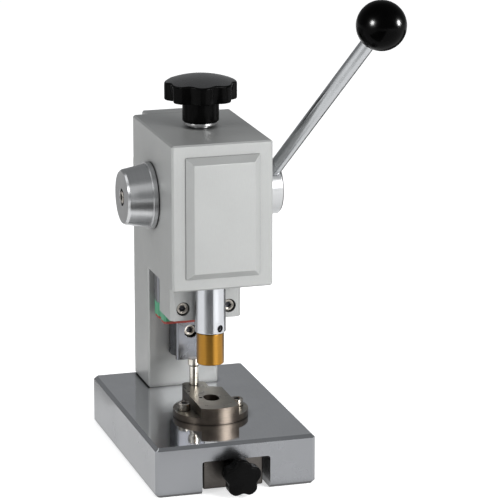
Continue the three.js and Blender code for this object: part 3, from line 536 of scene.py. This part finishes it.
# ------------------------------------------------------------------ frame pieces
def frame_pieces():
    from_cad("base_plate", ground_steel, 0.7)
    from_cad("column", satin_silver, 0.5)
    from_cad("head_housing", satin_silver, 0.6)
    from_cad("front_panel", satin_silver, 0.35)
    from_cad("slider_block", satin_silver, 0.35)
    from_cad("clamp_block", clamp_steel, 0.3)
    from_cad("die_plate", die_steel, 0.3)
    from_cad("linear_rail", dark_steel, 0.25)
    from_cad("carriage_body", dark_steel, 0.25)
    for end in ("lower", "upper"):
        from_cad(f"{end}_end_cap", green_plastic, 0.3)
        from_cad(f"{end}_end_seal", red_rubber, 0.3)
    from_cad("brake_shoe", bronze, 0.3)
    from_cad("pinion", rack_steel, 0.12, 2)
    from_cad("pinion_key", screw_steel, 0.15)
    from_cad("return_spring", spring_steel, 0.05, 1)
    from_cad("cross_shaft", shaft_steel, 0.1, 2)
    from_cad("left_bushing", bronze, 0.1, 2)
    from_cad("right_bushing", bronze, 0.1, 2)


# ------------------------------------------------------------------ ram and pusher
RAM_FLAT_TURN = math.radians(27)     # the ram's flat faces this far right of the front
RAM_FLAT_DEPTH = 0.7
RAM_FLAT_HEIGHT = 8
RAM_FLAT_HALF_WIDTH = 8
RAM_SCREW_RADIUS = 1.8
PUSHER_STEM = 4
PUSHER_SOCKET_DEPTH = 17
GEAR_TEETH = 16
ADDENDUM, DEDENDUM = 0.9, 1.2        # of the gear and the rack, in modules
RACK_GAPS = range(-2, 7)             # counted upward from the gear's height
RACK_HALF_WIDTH = 12
GAP_HALF_LENGTH = 9


def ram_piece():
    low, high = box("ram")
    radius = (high.x - low.x) / 2
    bottom, top = low.z, high.z
    body = turned("ram_fine", [(0, bottom), (radius, bottom), (radius, top), (0, top)], 0.9)
    move(body, (PRESS.x, low.y + radius, 0))
    axis = Vector((PRESS.x, low.y + radius, 0))
    outward = Vector((math.sin(RAM_FLAT_TURN), -math.cos(RAM_FLAT_TURN), 0))
    screw = middle("ram_set_screw")
    flat = brick("flat", (-RAM_FLAT_HALF_WIDTH, radius - RAM_FLAT_DEPTH, bottom - 1),
                 (RAM_FLAT_HALF_WIDTH, radius + 5, bottom + RAM_FLAT_HEIGHT))
    flat.data.transform(Matrix.Rotation(math.pi + RAM_FLAT_TURN, 4, "Z"))
    move(flat, axis)
    hole = cylinder("hole", RAM_SCREW_RADIUS + 0.7, 0, radius + 2)
    move(hole, axis + Vector((0, 0, screw.z)), outward)
    socket = cylinder("socket", PUSHER_STEM + 0.2, bottom - 1, bottom + PUSHER_SOCKET_DEPTH)
    move(socket, axis)
    cut(body, flat, hole, socket, *rack_tools())
    soften_edges(body, 0.2, 2)
    return stand_for(body, "ram", ram_chrome)


def rack_tools():
    """The flat and the tooth gaps down the ram's rear, round the gear's height."""
    low, high = box("pinion")
    outside = (high.z - low.z) / 2
    module = outside * 2 / (GEAR_TEETH + 2 * ADDENDUM)
    pitch = math.pi * module
    pitch_line = SHAFT.y - GEAR_TEETH / 2 * module
    tip = pitch_line + ADDENDUM * module
    middle_z = (low.z + high.z) / 2
    tools = [brick("flat", (-RACK_HALF_WIDTH, tip, middle_z - 2.5 * pitch),
                   (RACK_HALF_WIDTH, tip + 6, box("ram")[1].z + 1))]
    for k in RACK_GAPS:
        centre = middle_z + k * pitch
        outline = [(pitch_line - DEDENDUM * module, 0.45), (tip + 1, 1.35)]
        section = [(y, centre - half * module) for y, half in outline]
        section += [(y, centre + half * module) for y, half in reversed(outline)]
        tool = slab("gap", section, -GAP_HALF_LENGTH, GAP_HALF_LENGTH)
        tool.data.transform(DRAWN_ON_YZ)
        tools.append(tool)
    return tools


def pusher_piece():
    low, high = box("pusher")
    radius = (high.x - low.x) / 2
    shoulder = box("ram")[0].z - 0.1
    profile = [
        (0, low.z), (radius, low.z), (radius, shoulder), (PUSHER_STEM, shoulder), (PUSHER_STEM, high.z),
        (0, high.z),
    ]
    piece = turned("pusher_fine", profile, 0.8)
    move(piece, (PRESS.x, PRESS.y, 0))
    return stand_for(piece, "pusher", pusher_brass)


def set_screw(node, radius, toward):
    """A headless screw with a hexagon socket; its thread points along a direction."""
    near, far = reach(node, toward)
    length = far - near
    socket = radius * 0.6
    profile = [
        (0, -length * 0.5, 0), (socket, -length * 0.45, socket), (socket, -0.2, socket),
        (radius * 0.72, 0, 0), (radius - 0.3, 0, 0), (radius, -0.3, 0), (radius, -length + 0.4, 0),
        (radius - 0.4, -length, 0), (0, -length, 0),
    ]
    piece = lofted(f"{node}_fine", profile, hex_dip, sides=36)
    centre = middle(node)
    face = centre + toward * (near - centre.dot(toward))
    move(piece, face, -toward)
    return stand_for(piece, node, black_oxide_and_socket_shade)


# ------------------------------------------------------------------ cross shaft and lever
LEVER_ROD_RADIUS = 4.95
BALL_RADIUS = 16.5
BALL_STEPS = 40              # points down the ball's outline
HUB_BORE = 7.2
HUB_CHAMFER = 1.4
SET_SCREW_HOLE = 2.3


def cone_cap():
    """The turned cone on the shaft's left end, hollow for its spring; the profile's z runs outward."""
    low, high = box("cone_cap")
    rim = (high.z - low.z) / 2
    depth = high.x - low.x
    face, bore, web, pocket, hole = rim * 0.815, 16.6, 8, 5.8, 2.7
    rim_width, pocket_depth = 3.4, 4.8
    profile = [
        (hole, depth - web), (bore, depth - web), (bore, 0), (rim, 0), (rim, rim_width),
        (rim - 1.2, rim_width), (rim - 1.3, rim_width + 0.5), (face + 0.3, depth - 1.6), (face - 0.8, depth),
        (pocket, depth), (pocket, depth - pocket_depth), (hole, depth - pocket_depth),
    ]
    piece = turned("cone_cap_fine", profile, 0.45, sides=128, closed=True)
    move(piece, (high.x, SHAFT.y, SHAFT.z), -X)
    return stand_for(piece, "cone_cap", shaft_steel)


def lever_line():
    """A point on the lever's axis and its direction."""
    points = np.array([v.co / MM for v in frame["nodes"]["lever_rod"].data.vertices])
    centre = points.mean(0)
    direction = Vector(np.linalg.svd(points - centre)[2][0])
    return Vector(centre), direction if direction.z > 0 else -direction


def lever_hub(point, line, start):
    """The turned hub on the shaft's right end, bored for the shaft, the lever's rod and its set screw."""
    low, high = box("lever_hub")
    radius = (high.z - low.z) / 2
    depth = high.x - low.x
    profile = [
        (HUB_BORE, 0), (radius, 0), (radius, depth - HUB_CHAMFER), (radius - HUB_CHAMFER, depth),
        (HUB_BORE, depth),
    ]
    hub = turned("lever_hub_fine", profile, 0.5, sides=128, closed=True)
    move(hub, (low.x, SHAFT.y, SHAFT.z), X)
    rod_way = cylinder("way", LEVER_ROD_RADIUS + 0.15, start - 1, 0)
    move(rod_way, point, line)
    screw_way = cylinder("way", SET_SCREW_HOLE, 0, 30)
    move(screw_way, (middle("hub_set_screw").x, SHAFT.y, SHAFT.z), Y)
    cut(hub, rod_way, screw_way)
    soften_edges(hub, 0.25, 2)
    return stand_for(hub, "lever_hub", shaft_steel)


def lever_rod(point, line, start, end):
    radius = LEVER_ROD_RADIUS
    rod = turned("lever_rod_fine", [(0, start), (radius, start), (radius, end), (0, end)], 0.6)
    move(rod, point, line)
    return stand_for(rod, "lever_rod", rod_chrome)


def ball_knob(point, line, end):
    """The ball on the rod's end; its outline starts in the socket and runs from the neck to the top."""
    centre = reach("ball_knob", line, point)[1] - BALL_RADIUS
    neck = LEVER_ROD_RADIUS + 2
    first = -math.acos(neck / BALL_RADIUS)
    turns = [first + (math.pi / 2 - first) * k / BALL_STEPS for k in range(BALL_STEPS)]
    arc = [(BALL_RADIUS * math.cos(turn), centre + BALL_RADIUS * math.sin(turn)) for turn in turns]
    socket, mouth = LEVER_ROD_RADIUS + 0.2, arc[0][1]
    profile = [(0, end + 0.3), (socket, end + 0.3), (socket, mouth + 0.5), (socket + 0.5, mouth)]
    profile += [*arc, (0, centre + BALL_RADIUS)]
    ball = lofted("ball_knob_fine", [(radius, z, 0) for radius, z in profile])
    move(ball, point, line)
    return stand_for(ball, "ball_knob", black_gloss)


def lever_pieces():
    point, line = lever_line()
    start, end = reach("lever_rod", line, point)
    lever_hub(point, line, start)
    lever_rod(point, line, start, end)
    ball_knob(point, line, end)


# ------------------------------------------------------------------ star knobs
TOP_LOBES, TOP_LOBE_TURN = 8, math.radians(-100.7)
FRONT_LOBES, FRONT_LOBE_TURN = 5, math.radians(90)
SPINDLE_HOLE = 5.2
RIM_STEPS = 5                # layers round a knob's rim


def star_dip(lobes, phase):
    """How deep a star's outline is below its lobes, from 0 on a lobe to 1 in a hollow."""
    def dip(turn):
        return ((1 - math.cos(lobes * (turn - phase))) / 2) ** 1.5
    return dip


def domed(outside, hollow, dome, edge, steps=10):
    """Layers from a star's side wall over a rounded rim and up a dome that ignores the hollows."""
    layers = []
    for k in range(RIM_STEPS + 1):
        turn = math.pi / 2 * k / RIM_STEPS
        drop, inset = edge * (1 - math.sin(turn)), edge * (1 - math.cos(turn))
        layers.append((outside - inset, lambda r, drop=drop: dome(r) - drop, hollow))
    for k in range(1, steps + 1):
        share = 1 - k / steps
        layers.append(((outside - edge) * share, dome, hollow * share))
    return layers


def top_knob():
    """The star knob on the head, its spindle and the stepped ring under it."""
    low, high = box("top_knob")
    radius, hollow, stem = 24.4, 3.6, 12.35
    foot, crown = low.z, high.z
    bottom, hole_top, dome_rise = crown - 16.7, foot + 14, 4.6

    def dome(r):
        return crown - dome_rise * (r / radius) ** 2.2

    outline = [
        (0, hole_top, 0), (SPINDLE_HOLE, hole_top, 0), (SPINDLE_HOLE, foot, 0), (stem, foot, 0),
        (stem, bottom, 0), (radius - 2.5, bottom, hollow), (radius, bottom + 0.6, hollow),
        (radius, bottom + 4, hollow * 0.95),
    ]
    layers = rounded(outline, 0.9, 5) + domed(radius, hollow * 0.5, dome, 1.1)
    knob = lofted("top_knob_fine", layers, star_dip(TOP_LOBES, TOP_LOBE_TURN), sides=TOP_LOBES * 24)
    move(knob, (LOCK.x, LOCK.y, 0))
    # The dome's upper faces take the lighter copy: painted light on the black plastic.
    facing_up = [face.index for face in knob.data.polygons if face.normal.z > 0.8]
    stand_for(knob, "top_knob", knob_gloss, facing_up, knob_dome_lit)
    from_cad("lock_spindle", screw_steel, 0.3)
    knob_seat()


def knob_seat():
    """The stepped chrome ring that the top knob's stem stands on."""
    low, high = box("knob_seat_ring")
    ring, base, step = (high.x - low.x) / 2, 8, low.z + 1.9
    profile = [
        (SPINDLE_HOLE, low.z), (base, low.z), (base, step), (ring, step), (ring, high.z),
        (SPINDLE_HOLE, high.z),
    ]
    seat = turned("knob_seat_ring_fine", profile, 0.5, closed=True)
    move(seat, (LOCK.x, LOCK.y, 0))
    stand_for(seat, "knob_seat_ring", chrome_ring)


def front_knob():
    """The star knob in front, its stud and the brass pad; the outline's z runs toward the front."""
    low, high = box("front_knob")
    place = middle("clamp_stud")
    radius, hollow, hub, hole = 12.9, 2.6, 7.5, 4.2
    depth = high.y - low.y
    hole_depth, star = depth - 5.5, depth - 10.8
    outline = [
        (0, hole_depth, 0), (hole, hole_depth, 0), (hole, 0, 0), (hub, 0, 0), (hub, star, 0),
        (radius, star, hollow), (radius, depth - 5, hollow),
    ]

    def dome(r):
        return depth - 1.2 * (r / radius) ** 3

    layers = rounded(outline, 1.3, 5) + domed(radius, hollow, dome, 1.4)
    dip = star_dip(FRONT_LOBES, FRONT_LOBE_TURN)
    knob = lofted("front_knob_fine", layers, dip, sides=FRONT_LOBES * 32)
    move(knob, (0, high.y, place.z), -Y)
    stand_for(knob, "front_knob", black_satin)
    from_cad("clamp_stud", screw_steel, 0.3)
    from_cad("clamp_pad", bronze, 0.3)


# ------------------------------------------------------------------ guide post
def guide_post():
    """The post on the die's rear lobe, with its wider head."""
    low, high = box("guide_post")
    root = box("die_plate")[1].z + 0.1
    head, stem, neck = 4.2, 3.15, 2.55
    head_from, stem_to = high.z - 4.4, high.z - 5.3
    profile = [
        (0, low.z), (neck, low.z), (neck, root), (stem, root), (stem, stem_to), (head, head_from),
        (head, high.z), (0, high.z),
    ]
    piece = turned("guide_post_fine", profile, 0.5, sides=64)
    move(piece, (POST.x, POST.y, 0))
    return stand_for(piece, "guide_post", post_chrome)


# ------------------------------------------------------------------ stage, light and camera
FLOOR_HALF_SIZE = 7000
LIGHTS_AIM = Vector((0, 0, 0.14))    # about the middle of the press, in metres
CAMERA_PLACE = (-0.5400, -1.9262, 0.6756)
CAMERA_DROP = math.radians(14.9)     # how far the camera looks down
CAMERA_TURN = math.radians(-16.62)   # and how far it is turned about +Z


def card(name, corners, settings):
    """A sheet of the studio, from its corners in millimetres and its shader's settings."""
    sheet = mesh_object(name, corners, [[0, 1, 2, 3]])
    look = bpy.data.materials.new(name)
    look.use_nodes = True
    shader = look.node_tree.nodes["Principled BSDF"]
    for key, value in settings.items():
        shader.inputs[key].default_value = value
    sheet.data.materials.append(look)
    return sheet


def floor():
    half = FLOOR_HALF_SIZE
    corners = [(-half, -half, 0), (half, -half, 0), (half, half, 0), (-half, half, 0)]
    card("studio_floor", corners, {
        "Base Color": (0.9, 0.9, 0.9, 1), "Roughness": 0.9,
        "Emission Color": (1, 1, 1, 1), "Emission Strength": 0.6,
    })


def softbox(name, turn, rise, distance, width, height, glow, ball=False, sheen=False):
    """An area light aimed at the press: its bearing from -Y toward +X, its height angle, its distance and
    size in metres, and its brightness. A ball light is round and lights the ball alone; the others light
    all but the ball. A sheen light is seen in reflections only."""
    aim = middle("ball_knob") * MM if ball else LIGHTS_AIM
    turn, rise = math.radians(turn), math.radians(rise)
    way = Vector((math.sin(turn) * math.cos(rise), -math.cos(turn) * math.cos(rise), math.sin(rise)))
    data = bpy.data.lights.new(name, "AREA")
    data.shape = "ELLIPSE" if ball else "RECTANGLE"
    data.size, data.size_y = width, height
    data.energy = glow * math.pi * width * height
    lamp = bpy.data.objects.new(name, data)
    lamp.location = aim + way * distance
    lamp.rotation_euler = way.to_track_quat("Z", "Y").to_euler()
    lamp.visible_camera = False
    lamp.visible_diffuse = not sheen
    bpy.context.scene.collection.objects.link(lamp)
    linked = bpy.data.collections.new(f"{name}_lights")
    linked.objects.link(bpy.data.objects["ball_knob_fine"])
    linked.collection_objects[0].light_linking.link_state = "INCLUDE" if ball else "EXCLUDE"
    lamp.light_linking.receiver_collection = linked


def flag(name, corners, tone):
    """A dark card that only reflections see, as a photographer's black card gives metal its contrast."""
    sheet = card(name, corners, {
        "Base Color": (0, 0, 0, 1), "Specular IOR Level": 0,
        "Emission Color": (tone, tone, tone, 1), "Emission Strength": 1,
    })
    for ray in ("camera", "diffuse", "shadow", "transmission", "volume_scatter"):
        setattr(sheet, f"visible_{ray}", False)


def studio():
    """The even sky, the lights and the dark cards."""
    world = bpy.data.worlds.new("studio")
    bpy.context.scene.world = world
    world.use_nodes = True
    sky = world.node_tree.nodes["Background"]
    sky.inputs["Color"].default_value = (0.98, 1.0, 1.02, 1)
    sky.inputs["Strength"].default_value = 0.3
    softbox("key", 33, 20, 2.8, 1.2, 1.2, 15)
    softbox("left_sky", -112, 46, 2.2, 1.3, 1.3, 1.5)
    softbox("left_band", -69, 29, 1.9, 0.5, 0.5, 10)
    softbox("right_band", 57, 29, 1.9, 0.5, 0.5, 9)
    softbox("top_band", -29, 42, 2, 1.2, 1.1, 0.9, sheen=True)
    softbox("left_spark", -62, 18.6, 1.8, 0.5, 0.5, 420, ball=True, sheen=True)
    softbox("right_spark", 68, 9.7, 1.8, 0.5, 0.5, 420, ball=True, sheen=True)
    flag("front_flag", [(-380, -200, 4), (20, -200, 4), (180, -1300, 4), (-700, -1300, 4)], 0.06)
    flag("left_flag", [(-75, 110, 3), (-75, 1100, 3), (-1200, 1500, 3), (-1200, 330, 3)], 0.45)
    flag("right_flag", [(230, 40, 3), (1300, 230, 3), (650, 1130, 3), (130, 200, 3)], 0.1)


def camera():
    """The camera at the photo's angle."""
    data = bpy.data.cameras.new("camera")
    data.sensor_width = 36
    data.lens = 220.5
    data.clip_end = 50
    eye = bpy.data.objects.new("camera", data)
    eye.location = CAMERA_PLACE
    eye.rotation_euler = (math.pi / 2 - CAMERA_DROP, 0, CAMERA_TURN)
    bpy.context.scene.collection.objects.link(eye)
    bpy.context.scene.camera = eye
    bpy.context.scene.view_settings.view_transform = "Standard"


# ------------------------------------------------------------------ the whole press
frame_pieces()
all_screws()
ram_piece()
pusher_piece()
set_screw("ram_set_screw", 1.8, Vector((-math.sin(RAM_FLAT_TURN), math.cos(RAM_FLAT_TURN), 0)))
set_screw("hub_set_screw", 2.1, -Y)
cone_cap()
lever_pieces()
top_knob()
front_knob()
guide_post()
floor()
studio()
camera()
